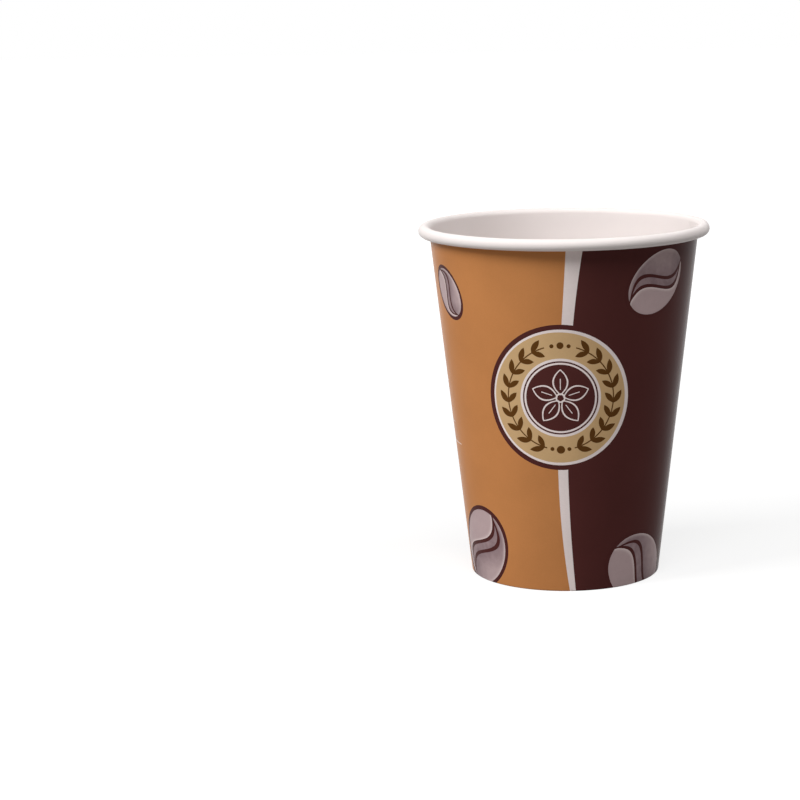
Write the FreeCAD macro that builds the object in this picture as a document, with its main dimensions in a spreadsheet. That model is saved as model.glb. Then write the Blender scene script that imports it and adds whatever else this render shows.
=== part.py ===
"""Single-wall paper coffee cup, 300 ml, 90 mm rim.

Two pieces of coated board. The side wall is a fan-shaped blank wound into a cone and lapped along one
seam. Its top edge is rolled outwards into the rim, and its bottom edge is folded in and up as a hem.
The bottom disc has a turned-down skirt, which is sealed in the fold between the wall and the hem.

Frame: +Z up, the axis of the cup on Z, origin at the middle of the ring that the cup stands on.
The front of the print faces -Y. The seam begins at +X and runs round towards +Y.
"""
import FreeCAD, Part

import math
import os

import Sketcher
from FreeCAD import Placement, Rotation, Vector

SIZES = {
    "rim_diameter": (90.0, "outside of the rolled rim, which a lid fits"),
    "cup_height": (110.0, "from the standing ring to the top of the rim"),
    "foot_diameter": (59.0, "outside of the wall, carried down to the table"),
    "wall_board": (0.35, "thickness of the board of the side wall"),
    "disc_board": (0.30, "thickness of the board of the bottom disc"),
    "curl_diameter": (3.7, "outside of the rolled rim's own section"),
    "curl_gap": (0.10, "air between the turns of the roll"),
    "curl_tail": (80.0, "degrees that the roll goes on for after one full turn"),
    "fold_radius": (0.05, "inside radius of the two bends at the foot"),
    "hem_height": (6.6, "top edge of the hem above the table"),
    "disc_height": (7.4, "underside of the bottom disc above the table"),
    "disc_bend": (0.30, "inside radius where the disc turns down into its skirt"),
    "skirt_lift": (0.15, "clearance between the edge of the skirt and the fold"),
    "seal_gap": (0.02, "melted coating on each side of the skirt"),
    "seam_ramp": (5.0, "degrees over which the outer ply steps out over the edge of the inner ply"),
    "seam_lap": (11.0, "degrees over which the two plies lie on each other"),
    "seam_inset": (0.02, "the outer ply leaves the wall's own faces this far under them"),
    "seam_lift": (0.5, "open edge of the inner ply begins this far above the disc"),
    "seam_drop": (0.2, "lapped plies end this far under the rolled rim"),
}

# How a sketch numbers the two ends and the centre of a line or an arc, and its own two axes.
START, END, CENTRE = range(1, 4)
TABLE, AXIS = range(-1, -3, -1)
ORIGIN = (TABLE, START)

CURL_R = "Sizes.curl_diameter / 2"
CURL_X = "Sizes.rim_diameter / 2 - Sizes.curl_diameter / 2"
CURL_Z = "Sizes.cup_height - Sizes.curl_diameter / 2"
ROLL_STEP = "(Sizes.wall_board + Sizes.curl_gap)"
SLOT = "Sizes.disc_board + 2 * Sizes.seal_gap"
SEAM_TOP = "Sizes.cup_height - Sizes.curl_diameter - Sizes.seam_drop"
SEAM_FOOT = "Sizes.wall_board + Sizes.fold_radius"
SEAM_OPEN = "Sizes.disc_height + Sizes.disc_board + Sizes.seam_lift"


def make_sheet(doc):
    """Writes the driving dimensions into a spreadsheet, one alias to a row."""
    sheet = doc.addObject("Spreadsheet::Sheet", "Sizes")
    for row, (alias, (value, meaning)) in enumerate(SIZES.items(), start=1):
        sheet.set(f"A{row}", alias)
        sheet.set(f"B{row}", str(value))
        sheet.setAlias(f"B{row}", alias)
        sheet.set(f"C{row}", meaning)
    doc.recompute()
    return sheet


class Wall:
    """Where the wall runs in the section plane, for the first position of each sketch's points."""

    def __init__(self, sheet):
        """Works out the slope of the wall from the foot and from the roll that its inner face touches."""
        self.board = sheet.wall_board
        self.roll = sheet.curl_diameter / 2
        self.foot = Vector(sheet.foot_diameter / 2, 0, 0)
        self.curl = Vector(sheet.rim_diameter / 2 - self.roll, sheet.cup_height - self.roll, 0)
        across = self.curl - self.foot
        self.slope = math.acos((self.roll - self.board) / across.Length) - math.atan2(across.y, across.x)
        self.up = Vector(math.sin(self.slope), math.cos(self.slope), 0)
        self.out = Vector(math.cos(self.slope), -math.sin(self.slope), 0)

    def at(self, height, offset):
        """The point at a height, that far outside the inner face of the wall."""
        start = self.foot + self.out * (offset - self.board)
        return start + self.up * ((height - start.y) / self.up.y)

    def polar(self, centre, radius, degrees):
        """The point at a distance from centre, at an angle that is measured from straight out of the wall."""
        turn = math.radians(degrees)
        return centre + self.out * (radius * math.cos(turn)) + self.up * (radius * math.sin(turn))


class Section:
    """A sketch of half of the cup's section, with X as the radius and Y as the height."""

    def __init__(self, body, name, turned_by=None):
        """Adds the sketch to body on its XZ plane, turned about the axis where a formula is given."""
        self.sketch = body.newObject("Sketcher::SketchObject", name)
        plane = next(p for p in body.Origin.OriginFeatures if p.Role == "XZ_Plane")
        self.sketch.AttachmentSupport = [(plane, "")]
        self.sketch.MapMode = "FlatFace"
        if turned_by:
            self.sketch.AttachmentOffset = Placement(Vector(), Rotation(Vector(0, 1, 0), 1.0))
            self.sketch.setExpression("AttachmentOffset.Rotation.Angle", turned_by)

    def line(self, start, end, construction=False):
        """Draws a line and gives its number."""
        return self.sketch.addGeometry(Part.LineSegment(start, end), construction)

    def arc(self, wall, centre, radius, start, end):
        """Draws an anticlockwise arc between two angles measured from straight out of the wall."""
        turn = -math.degrees(wall.slope)
        circle = Part.Circle(centre, Vector(0, 0, 1), radius)
        arc = Part.ArcOfCircle(circle, math.radians(start + turn), math.radians(end + turn))
        return self.sketch.addGeometry(arc)

    def circle(self, centre, radius):
        """Draws a construction circle and gives its number."""
        return self.sketch.addGeometry(Part.Circle(centre, Vector(0, 0, 1), radius), True)

    def point(self, place):
        """Draws a construction point and gives its number."""
        return self.sketch.addGeometry(Part.Point(place), True)

    def tie(self, kind, *places):
        """Adds a constraint that has no size, such as Tangent or Parallel."""
        self.sketch.addConstraint(Sketcher.Constraint(kind, *places))

    def size(self, name, formula, kind, *places_and_value):
        """Adds a named dimension and binds it to a formula of the spreadsheet's cells."""
        number = self.sketch.addConstraint(Sketcher.Constraint(kind, *places_and_value))
        self.sketch.renameConstraint(number, name)
        self.sketch.setExpression(f"Constraints.{name}", formula)

    def place(self, name, x_formula, y_formula, geometry, end, point):
        """Dimensions a point from the axis and from the table."""
        self.size(f"{name}_radius", x_formula, "DistanceX", *ORIGIN, geometry, end, point.x)
        self.size(f"{name}_height", y_formula, "DistanceY", *ORIGIN, geometry, end, point.y)

    def inner_face(self, wall):
        """Draws the inner face of the wall as a construction line, from the foot to the roll."""
        foot = self.point(wall.foot)
        self.tie("PointOnObject", foot, START, TABLE)
        self.size("foot", "Sizes.foot_diameter / 2", "DistanceX", *ORIGIN, foot, START, wall.foot.x)
        roll = self.circle(wall.curl, wall.roll)
        self.place("roll", CURL_X, CURL_Z, roll, CENTRE, wall.curl)
        self.size("roll_size", CURL_R, "Radius", roll, wall.roll)
        face = self.line(wall.at(0, 0), wall.at(wall.curl.y, 0), True)
        self.tie("PointOnObject", face, START, TABLE)
        self.size("face_top", CURL_Z, "DistanceY", *ORIGIN, face, END, wall.curl.y)
        self.tie("Tangent", face, roll)
        self.size("wall_board", "Sizes.wall_board", "Distance", foot, START, face, wall.board)
        return face


def draw_wall(body, wall, sheet):
    """Draws the wall with its roll and its hem, one board thick all the way."""
    s = Section(body, "WallSection")
    board, bend, roll, tail = sheet.wall_board, sheet.fold_radius, sheet.curl_diameter / 2, sheet.curl_tail
    slot = sheet.disc_board + 2 * sheet.seal_gap
    step = (board + sheet.curl_gap) / 2
    level = board + bend
    lean = math.degrees(wall.slope)
    down = Vector(0, -1, 0)
    fold = wall.at(level, -bend)
    hem_fold = wall.at(level, bend - slot)
    second = wall.curl + wall.out * step
    hem_top = wall.at(sheet.hem_height, -slot - board)

    outer = s.line(fold + wall.out * level, wall.polar(wall.curl, roll - board, 180))
    outer_bend = s.arc(wall, fold, level, lean - 90, 0)
    under = s.line(hem_fold + down * level, fold + down * level)
    hem_bend = s.arc(wall, hem_fold, level, 180, 270 + lean)
    hem_back = s.line(hem_top, hem_fold - wall.out * level)
    hem_edge = s.line(hem_top, hem_top + wall.out * board)
    hem_front = s.line(hem_top + wall.out * board, hem_fold - wall.out * bend)
    hem_inside = s.arc(wall, hem_fold, bend, 180, 270 + lean)
    floor = s.line(hem_fold + down * bend, fold + down * bend)
    inside = s.arc(wall, fold, bend, lean - 90, 0)
    inner = s.line(fold + wall.out * bend, wall.polar(wall.curl, roll, 180))

    first_out = s.arc(wall, wall.curl, roll, 0, 180)
    second_out = s.arc(wall, second, roll - step, 180, 360)
    third_out = s.arc(wall, wall.curl, roll - 2 * step, 180 - tail, 180)
    tail_out = wall.polar(wall.curl, roll - 2 * step, 180 - tail)
    tail_in = wall.polar(wall.curl, roll - 2 * step - board, 180 - tail)
    tail_edge = s.line(tail_out, tail_in)
    third_in = s.arc(wall, wall.curl, roll - 2 * step - board, 180 - tail, 180)
    second_in = s.arc(wall, second, roll - step - board, 180, 360)
    first_in = s.arc(wall, wall.curl, roll - board, 0, 180)

    for joint in (
        (outer, START, outer_bend, END),
        (outer_bend, START, under, END),
        (under, START, hem_bend, END),
        (hem_bend, START, hem_back, END),
        (hem_front, END, hem_inside, START),
        (hem_inside, END, floor, START),
        (floor, END, inside, START),
        (inside, END, inner, START),
        (inner, END, first_out, END),
        (first_out, START, second_out, END),
        (second_out, START, third_out, END),
        (third_in, END, second_in, START),
        (second_in, END, first_in, START),
        (first_in, END, outer, END),
    ):
        s.tie("Tangent", *joint)
    s.tie("Perpendicular", hem_back, START, hem_edge, START)
    s.tie("Coincident", hem_edge, END, hem_front, START)
    s.tie("Perpendicular", third_out, START, tail_edge, START)
    s.tie("Coincident", tail_edge, END, third_in, START)

    s.tie("PointOnObject", under, START, TABLE)
    s.tie("PointOnObject", under, END, TABLE)
    s.tie("Coincident", outer_bend, CENTRE, inside, CENTRE)
    s.tie("Coincident", hem_bend, CENTRE, hem_inside, CENTRE)
    s.tie("Coincident", first_out, CENTRE, first_in, CENTRE)
    s.tie("Coincident", second_out, CENTRE, second_in, CENTRE)
    s.tie("Coincident", third_out, CENTRE, third_in, CENTRE)
    s.tie("Parallel", outer, inner)
    s.tie("Parallel", outer, hem_back)
    s.tie("Parallel", hem_back, hem_front)

    s.size("inside_bend", "Sizes.fold_radius", "Radius", inside, bend)
    s.size("hem_inside_bend", "Sizes.fold_radius", "Radius", hem_inside, bend)
    s.size("outside_bend", SEAM_FOOT, "Radius", outer_bend, level)
    s.size("hem_outside_bend", SEAM_FOOT, "Radius", hem_bend, level)
    s.size("slot", SLOT, "Distance", hem_front, START, inner, slot)
    s.size("hem_height", "Sizes.hem_height", "DistanceY", *ORIGIN, hem_back, START, sheet.hem_height)
    foot = s.point(wall.foot)
    s.tie("PointOnObject", foot, START, TABLE)
    s.tie("PointOnObject", foot, START, outer)
    s.size("foot", "Sizes.foot_diameter / 2", "DistanceX", *ORIGIN, foot, START, wall.foot.x)
    s.place("roll", CURL_X, CURL_Z, first_out, CENTRE, wall.curl)
    s.size("roll_size", CURL_R, "Radius", first_out, roll)
    s.size("second_size", f"{CURL_R} - {ROLL_STEP} / 2", "Radius", second_out, roll - step)
    s.size("third_size", f"{CURL_R} - {ROLL_STEP}", "Radius", third_out, roll - 2 * step)
    s.size("first_turn", "180", "Angle", first_out, math.pi)
    s.size("second_turn", "180", "Angle", second_out, math.pi)
    s.size("tail_turn", "Sizes.curl_tail", "Angle", third_out, math.radians(tail))
    return s


class Ply:
    """One four-sided section of the lapped seam, which lies along the wall in a plane turned about the axis."""

    def __init__(self, body, wall, name, turned_by, near, far, low, high):
        """Draws it between two offsets from the wall's inner face and two heights, each a value and a formula."""
        self.section = Section(body, name, turned_by)
        s = self.section
        face = s.inner_face(wall)
        corners = [wall.at(h[0], o[0]) for h, o in ((low, near), (high, near), (high, far), (low, far))]
        inside, top, outside, bottom = (s.line(corners[i], corners[(i + 1) % 4]) for i in range(4))
        s.tie("Perpendicular", inside, END, top, START)
        s.tie("Coincident", top, END, outside, START)
        s.tie("Coincident", outside, END, bottom, START)
        s.tie("Perpendicular", bottom, END, inside, START)
        s.tie("Parallel", inside, face)
        s.tie("Parallel", outside, face)
        s.size("near", near[1], "Distance", inside, START, face, abs(near[0]))
        s.size("far", far[1], "Distance", outside, START, face, abs(far[0]))
        s.size("low", low[1], "DistanceY", *ORIGIN, inside, START, low[0])
        s.size("high", high[1], "DistanceY", *ORIGIN, inside, END, high[0])


def revolve(body, section, name, angle=None):
    """Turns a section about the axis of the cup, all the way round or by a formula in degrees."""
    turn = body.newObject("PartDesign::Revolution", name)
    turn.Profile = section.sketch
    turn.ReferenceAxis = (section.sketch, ["V_Axis"])
    turn.Angle = 360
    if angle:
        turn.setExpression("Angle", angle)
    return turn


def loft(body, kind, name, first, last):
    """Joins two sections with straight rules, as an added or as a cut-out piece."""
    piece = body.newObject(f"PartDesign::{kind}Loft", name)
    piece.Profile = first.section.sketch
    piece.Sections = [(last.section.sketch, [""])]
    piece.Ruled = True
    return piece


def make_side_wall(doc, sheet):
    """Builds the wall with its roll and hem, then laps the seam over the last few degrees."""
    body = doc.addObject("PartDesign::Body", "side_wall")
    body.Label = "side_wall"
    wall = Wall(sheet)
    board, inset = sheet.wall_board, sheet.seam_inset
    revolve(body, draw_wall(body, wall, sheet), "WoundWall")

    middle = (board / 2, "Sizes.wall_board / 2")
    outer = (2 * board, "2 * Sizes.wall_board")
    leaving = (board - inset, "Sizes.wall_board - Sizes.seam_inset")
    top = (sheet.cup_height - sheet.curl_diameter - sheet.seam_drop, SEAM_TOP)
    foot = (board + sheet.fold_radius, SEAM_FOOT)
    lap = Ply(body, wall, "LapSection", "Sizes.seam_ramp", middle, outer, foot, top)
    start = Ply(body, wall, "RampSection", None, middle, leaving, foot, top)
    revolve(body, lap.section, "OuterPly", "Sizes.seam_lap")
    loft(body, "Additive", "OuterPlyRamp", start, lap)

    air = (-board, "Sizes.wall_board")
    under = (-inset, "Sizes.seam_inset")
    glued = (board, "Sizes.wall_board")
    opening = (sheet.disc_height + sheet.disc_board + sheet.seam_lift, SEAM_OPEN)
    closed = Ply(body, wall, "EdgeStart", None, air, under, opening, top)
    opened = Ply(body, wall, "EdgeEnd", "Sizes.seam_ramp", air, glued, opening, top)
    loft(body, "Subtractive", "InnerEdge", closed, opened)
    return body


def make_bottom_disc(doc, sheet):
    """Builds the disc, whose skirt hangs parallel to the wall, a seal gap inside it."""
    body = doc.addObject("PartDesign::Body", "bottom_disc")
    body.Label = "bottom_disc"
    wall = Wall(sheet)
    s = Section(body, "DiscSection")
    face = s.inner_face(wall)
    board, gap, bend, height = sheet.disc_board, sheet.seal_gap, sheet.disc_bend, sheet.disc_height
    lean = math.degrees(wall.slope)
    up = Vector(0, 1, 0)
    turn = wall.at(height - bend, -gap - board - bend)
    low = sheet.wall_board + sheet.fold_radius + sheet.skirt_lift
    outer_low = wall.at(low, -gap)
    inner_low = outer_low - wall.out * board

    top = s.line(Vector(0, height + board, 0), turn + up * (bend + board))
    outer_turn = s.arc(wall, turn, bend + board, 0, 90 + lean)
    skirt_out = s.line(turn + wall.out * (bend + board), outer_low)
    skirt_edge = s.line(outer_low, inner_low)
    skirt_in = s.line(inner_low, turn + wall.out * bend)
    inner_turn = s.arc(wall, turn, bend, 0, 90 + lean)
    under = s.line(turn + up * bend, Vector(0, height, 0))
    middle = s.line(Vector(0, height, 0), Vector(0, height + board, 0))

    s.tie("Tangent", top, END, outer_turn, END)
    s.tie("Tangent", outer_turn, START, skirt_out, START)
    s.tie("Perpendicular", skirt_out, END, skirt_edge, START)
    s.tie("Coincident", skirt_edge, END, skirt_in, START)
    s.tie("Tangent", skirt_in, END, inner_turn, START)
    s.tie("Tangent", inner_turn, END, under, START)
    s.tie("Coincident", under, END, middle, START)
    s.tie("Coincident", middle, END, top, START)
    s.tie("PointOnObject", middle, START, AXIS)
    s.tie("PointOnObject", middle, END, AXIS)
    s.tie("Horizontal", top)
    s.tie("Horizontal", under)
    s.tie("Coincident", outer_turn, CENTRE, inner_turn, CENTRE)
    s.tie("Parallel", skirt_out, face)
    s.tie("Parallel", skirt_in, face)
    s.size("disc_height", "Sizes.disc_height", "DistanceY", *ORIGIN, middle, START, height)
    s.size("disc_board", "Sizes.disc_board", "DistanceY", middle, START, middle, END, board)
    s.size("disc_bend", "Sizes.disc_bend", "Radius", inner_turn, bend)
    s.size("seal_gap", "Sizes.seal_gap", "Distance", skirt_out, END, face, gap)
    s.size("skirt_low", f"{SEAM_FOOT} + Sizes.skirt_lift", "DistanceY", *ORIGIN, skirt_out, END, low)
    revolve(body, s, "TurnedDisc")
    return body


def check(doc, bodies):
    """Stops where a sketch is loose or over-tied, a feature failed or a piece isn't one valid solid."""
    doc.recompute()
    for item in doc.Objects:
        if {"Invalid", "Error"} & set(item.State):
            raise RuntimeError(f"{item.Name} did not rebuild: {item.State}")
        if item.isDerivedFrom("Sketcher::SketchObject"):
            if item.solve() or item.RedundantConstraints or not item.FullyConstrained:
                raise RuntimeError(f"{item.Name} is not fully and singly dimensioned")
        if hasattr(item, "Shape") and (item.Shape.isNull() or not item.Shape.isValid()):
            raise RuntimeError(f"{item.Name} has no valid shape")
    for body in bodies:
        if len(body.Shape.Solids) != 1:
            raise RuntimeError(f"{body.Label} is {len(body.Shape.Solids)} solids")


def main():
    """Builds both pieces and writes each one to its own file."""
    os.makedirs("parts", exist_ok=True)
    doc = FreeCAD.newDocument("coffee_cup")
    sheet = make_sheet(doc)
    bodies = [make_side_wall(doc, sheet), make_bottom_disc(doc, sheet)]
    check(doc, bodies)
    for body in bodies:
        body.Shape.exportStep(f"parts/{body.Label}.step")
        box = body.Shape.BoundBox
        print(f"{body.Label}: {body.Shape.Volume:.0f} mm3, z {box.ZMin:.3f} to {box.ZMax:.3f},",
              f"x {box.XMin:.3f} to {box.XMax:.3f}")


main()
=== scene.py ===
"""A single-wall paper cup for hot drinks, dressed for its picture.

The wall is one printed board: white and coated inside, rolled out into the rim at the top, lapped along
one seam and folded in round the skirt of the bottom disc at the foot. The print has a caramel ground and
a dark ground, parted by a white band that carries a round badge, with coffee beans scattered over both.
"""

import logging
import math
from collections.abc import Callable, Iterable, Sequence
from dataclasses import dataclass, field
from enum import Enum

import bpy
from mathutils import Matrix, Vector

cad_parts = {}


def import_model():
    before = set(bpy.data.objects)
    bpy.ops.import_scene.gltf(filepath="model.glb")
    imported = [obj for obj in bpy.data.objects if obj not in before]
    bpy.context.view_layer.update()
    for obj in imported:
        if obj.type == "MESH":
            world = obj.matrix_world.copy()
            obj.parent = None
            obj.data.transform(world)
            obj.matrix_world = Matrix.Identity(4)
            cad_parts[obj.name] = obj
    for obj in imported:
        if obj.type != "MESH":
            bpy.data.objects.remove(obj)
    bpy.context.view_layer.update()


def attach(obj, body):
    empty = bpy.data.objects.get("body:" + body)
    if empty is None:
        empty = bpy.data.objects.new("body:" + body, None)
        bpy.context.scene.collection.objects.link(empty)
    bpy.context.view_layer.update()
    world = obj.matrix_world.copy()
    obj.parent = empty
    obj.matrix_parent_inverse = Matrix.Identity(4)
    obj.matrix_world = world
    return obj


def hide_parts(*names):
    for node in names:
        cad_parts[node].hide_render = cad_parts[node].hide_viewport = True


MM = 0.001
BAKE_MAP = "OFBake"
SAME_POINT = 1e-4
SMOOTH_UP_TO = math.radians(35)

Color = tuple[float, float, float]

log = logging.getLogger("paper_cup")


class Face(Enum):
    """What a strip of the board's surface shows."""

    PRINT = 0
    COATED = 1
    CUT = 2


def select_none() -> None:
    """Leaves object mode with nothing selected."""
    if bpy.context.object and bpy.context.object.mode != "OBJECT":
        bpy.ops.object.mode_set(mode="OBJECT")
    bpy.ops.object.select_all(action="DESELECT")


def edit_where(piece: bpy.types.Object, wanted: Callable[[Vector], bool]) -> None:
    """Opens a piece in edit mode with only some of its vertices selected.

    Args:
        piece: the object to edit.
        wanted: tells from a vertex's place whether it is selected.
    """
    bpy.ops.object.mode_set(mode="EDIT")
    bpy.ops.mesh.select_mode(type="VERT")
    bpy.ops.mesh.select_all(action="DESELECT")
    bpy.ops.object.mode_set(mode="OBJECT")
    for vertex in piece.data.vertices:
        vertex.select = wanted(vertex.co)
    bpy.ops.object.mode_set(mode="EDIT")


def turn_of(place: Vector) -> float:
    """The angle round the cup's axis, in degrees from +X towards +Y, between 0 and 360."""
    return math.degrees(math.atan2(place.y, place.x)) % 360.0


@dataclass
class Spun:
    """A section that is spun round the cup's axis in several runs of steps.

    Attributes:
        name: the name of the piece.
        section: the corners of the section, as radius and height in millimetres.
        start: the angle of the first section, in degrees.
        runs: each run's sweep in degrees and its number of steps.
        closed: whether the last corner joins the first; it doesn't where both lie on the axis.
    """

    name: str
    section: Sequence[tuple[float, float]]
    start: float = 0.0
    runs: Sequence[tuple[float, int]] = ((360.0, 180),)
    closed: bool = True

    def build(self) -> bpy.types.Object:
        """Draws the section edge by edge, spins it and closes it.

        Returns:
            The piece, as an object at the origin.
        """
        select_none()
        turn = math.radians(self.start)
        places = [Vector((r * math.cos(turn), r * math.sin(turn), z)) * MM for r, z in self.section]
        bpy.ops.mesh.primitive_plane_add(size=MM, location=(0, 0, 0))
        piece = bpy.context.object
        piece.name = piece.data.name = self.name
        bpy.ops.object.mode_set(mode="EDIT")
        bpy.ops.mesh.select_all(action="SELECT")
        bpy.ops.mesh.merge(type="CENTER")
        bpy.ops.transform.translate(value=places[0])
        for before, after in zip(places, places[1:]):
            bpy.ops.mesh.extrude_region_move(TRANSFORM_OT_translate={"value": after - before})
        if self.closed:
            bpy.ops.object.mode_set(mode="OBJECT")
            for index in (0, len(places) - 1):
                piece.data.vertices[index].select = True
            bpy.ops.object.mode_set(mode="EDIT")
            bpy.ops.mesh.edge_face_add()
        bpy.ops.mesh.select_all(action="SELECT")
        for sweep, steps in self.runs:
            turn = -math.radians(sweep)
            bpy.ops.mesh.spin(steps=steps, angle=turn, center=(0, 0, 0), axis=(0, 0, 1), use_auto_merge=False)
        bpy.ops.mesh.select_all(action="SELECT")
        bpy.ops.mesh.remove_doubles(threshold=0.002 * MM)
        bpy.ops.mesh.normals_make_consistent(inside=False)
        bpy.ops.object.mode_set(mode="OBJECT")
        return piece

    def columns(self) -> list[float]:
        """The angles of the sections that the spin leaves, in degrees from the start."""
        angles = [0.0]
        for sweep, steps in self.runs:
            first = angles[-1]
            angles += [first + sweep * (i + 1) / steps for i in range(steps)]
        return angles


@dataclass
class Skin:
    """Material and bake map of a spun piece, laid out from its section.

    The printed faces lie on the map in two strips, one for each half of the cup, so that the print is as
    sharp across as it is along. All other faces share a third strip.

    Attributes:
        spun: the piece's section and steps.
        faces: what each edge of the section shows, the closing edge last.
        shares: how much of the bake map a millimetre of each edge gets.
        least_column: the width that a narrow column of faces is given on the map, in degrees.
        margin: the room left round each strip, as a part of the map.
    """

    spun: Spun
    faces: Sequence[Face]
    shares: Sequence[float]
    least_column: float = 0.6
    margin: float = 0.003

    def stations(self, piece: bpy.types.Object) -> list[tuple[int, int]]:
        """Finds each vertex's column and row.

        Args:
            piece: the spun piece, before anything on it is moved.

        Returns:
            The column in the spin and the corner of the section, for each vertex.
        """
        section, angles = self.spun.section, self.spun.columns()[:-1]
        rows = {(round(r, 2), round(z, 2)): i for i, (r, z) in enumerate(section)}
        columns = {round(angle, 1): i for i, angle in enumerate(angles)}
        found = []
        for vertex in piece.data.vertices:
            r, z = math.hypot(vertex.co.x, vertex.co.y) / MM, vertex.co.z / MM
            row = rows.get((round(r, 2), round(z, 2)))
            if row is None:
                row = min(range(len(section)), key=lambda i: abs(section[i][0] - r) + abs(section[i][1] - z))
            angle = (turn_of(vertex.co) - self.spun.start) % 360.0
            column = columns.get(round(angle, 1))
            if column is None:
                apart = [abs((other - angle + 180.0) % 360.0 - 180.0) for other in angles]
                column = apart.index(min(apart))
            found.append((column, row))
        return found

    def dress(self, piece: bpy.types.Object, materials: dict[Face, bpy.types.Material]) -> None:
        """Gives each face of a spun piece its material and its place on the bake map.

        Args:
            piece: the spun piece, before anything on it is moved.
            materials: the material of each kind of face.
        """
        kinds = list(materials)
        for kind in kinds:
            piece.data.materials.append(materials[kind])
        section, count = self.spun.section, len(self.spun.section)
        high = {True: 0.0, False: 0.0}
        rise = []
        for i in range(count):
            (r0, z0), (r1, z1) = section[i], section[(i + 1) % count]
            printed = self.faces[i] is Face.PRINT
            step = math.hypot(r1 - r0, z1 - z0) * self.shares[i]
            rise.append((high[printed], high[printed] + step))
            high[printed] += step
        across = [0.0]
        for before, after in zip(self.spun.columns(), self.spun.columns()[1:]):
            across.append(across[-1] + max(after - before, self.least_column))
        last = len(across) - 1
        half = min(range(last + 1), key=lambda i: abs(across[i] - across[-1] / 2))
        whole = 2 * high[True] + high[False]
        base = {0: 0.0, 1: high[True] / whole, 2: 2 * high[True] / whole}
        top = {0: base[1], 1: base[2], 2: 1.0}
        places = self.stations(piece)
        layer = piece.data.uv_layers.new(name=BAKE_MAP)
        for polygon in piece.data.polygons:
            columns = [places[v][0] for v in polygon.vertices]
            rows = [places[v][1] for v in polygon.vertices]
            if max(columns) - min(columns) > 1:
                columns = [last if column == 0 else column for column in columns]
            closing = max(rows) - min(rows) > 1
            edge = count - 1 if closing else min(rows)
            polygon.material_index = kinds.index(self.faces[edge])
            strip = 2 if self.faces[edge] is not Face.PRINT else int(min(columns) >= half)
            left, right = {0: (0, half), 1: (half, last), 2: (0, last)}[strip]
            for loop, column, row in zip(polygon.loop_indices, columns, rows):
                u = (across[column] - across[left]) / (across[right] - across[left])
                start = row == edge
                v = rise[edge][0 if start else 1] / high[strip < 2]
                low, tall = base[strip] + self.margin, top[strip] - base[strip] - 2 * self.margin
                layer.data[loop].uv = (self.margin + (1 - 2 * self.margin) * u, low + tall * v)


@dataclass(frozen=True)
class CupSizes:
    """The sizes of the cup in millimetres and degrees, as they are in its solids."""

    rim_diameter: float = 90.0
    height: float = 110.0
    foot_diameter: float = 59.0
    board: float = 0.35
    disc_board: float = 0.30
    curl_diameter: float = 3.7
    curl_gap: float = 0.10
    curl_tail: float = 80.0
    fold_radius: float = 0.05
    hem_height: float = 6.6
    disc_height: float = 7.4
    disc_bend: float = 0.30
    skirt_lift: float = 0.15
    seal_gap: float = 0.02
    seam_ramp: float = 5.0
    seam_lap: float = 11.0
    seam_lift: float = 0.5
    seam_drop: float = 0.2

    @property
    def roll(self) -> float:
        """Outside radius of the rolled rim's section."""
        return self.curl_diameter / 2

    @property
    def curl(self) -> Vector:
        """The middle of the rolled rim's section."""
        return Vector((self.rim_diameter / 2 - self.roll, self.height - self.roll))

    @property
    def slope(self) -> float:
        """How far the wall leans outwards, in radians."""
        across = self.curl - Vector((self.foot_diameter / 2, 0))
        return math.acos((self.roll - self.board) / across.length) - math.atan2(across.y, across.x)

    @property
    def out(self) -> Vector:
        """Straight out of the wall."""
        return Vector((math.cos(self.slope), -math.sin(self.slope)))

    @property
    def up(self) -> Vector:
        """Straight up along the wall."""
        return Vector((math.sin(self.slope), math.cos(self.slope)))

    @property
    def seam_top(self) -> float:
        """Where the lapped plies end under the rim."""
        return self.height - self.curl_diameter - self.seam_drop

    def at(self, height: float, offset: float) -> Vector:
        """The point at a height, that far outside the inner face of the wall."""
        start = Vector((self.foot_diameter / 2, 0)) + self.out * (offset - self.board)
        return start + self.up * ((height - start.y) / self.up.y)

    def offset(self, place: Vector) -> float:
        """How far outside the inner face of the wall a vertex lies, in millimetres."""
        point = Vector((math.hypot(place.x, place.y), place.z)) / MM
        return (point - Vector((self.foot_diameter / 2, 0))).dot(self.out) + self.board

    def arc(self, centre: Vector, radius: float, start: float, end: float, steps: int) -> list[Vector]:
        """Points along an arc.

        Args:
            centre: the middle of the arc.
            radius: its radius.
            start: the first angle in degrees, from straight out of the wall.
            end: the last angle.
            steps: the number of edges.

        Returns:
            The points, with both ends.
        """
        turns = [math.radians(start + (end - start) * i / steps) for i in range(steps + 1)]
        return [centre + self.out * (radius * math.cos(t)) + self.up * (radius * math.sin(t)) for t in turns]


@dataclass
class Outline:
    """A closed outline that is put together from stretches, each with what it shows."""

    points: list[Vector] = field(default_factory=list)
    faces: list[Face] = field(default_factory=list)
    shares: list[float] = field(default_factory=list)

    def run(self, stretch: Iterable[Vector], face: Face, share: float) -> None:
        """Adds a stretch of the outline.

        Args:
            stretch: its points; the first is left out where it is the last point so far.
            face: what its edges show, the edge that leads to it too.
            share: how much of the bake map a millimetre gets.
        """
        for point in stretch:
            if self.points and (point - self.points[-1]).length < SAME_POINT:
                continue
            if self.points:
                self.faces.append(face)
                self.shares.append(share)
            self.points.append(point)

    def close(self, face: Face, share: float) -> None:
        """Says what the edge from the last point to the first shows."""
        self.faces.append(face)
        self.shares.append(share)

    def corners(self) -> list[tuple[float, float]]:
        """The outline's points as radius and height."""
        return [(point.x, point.y) for point in self.points]


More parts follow.
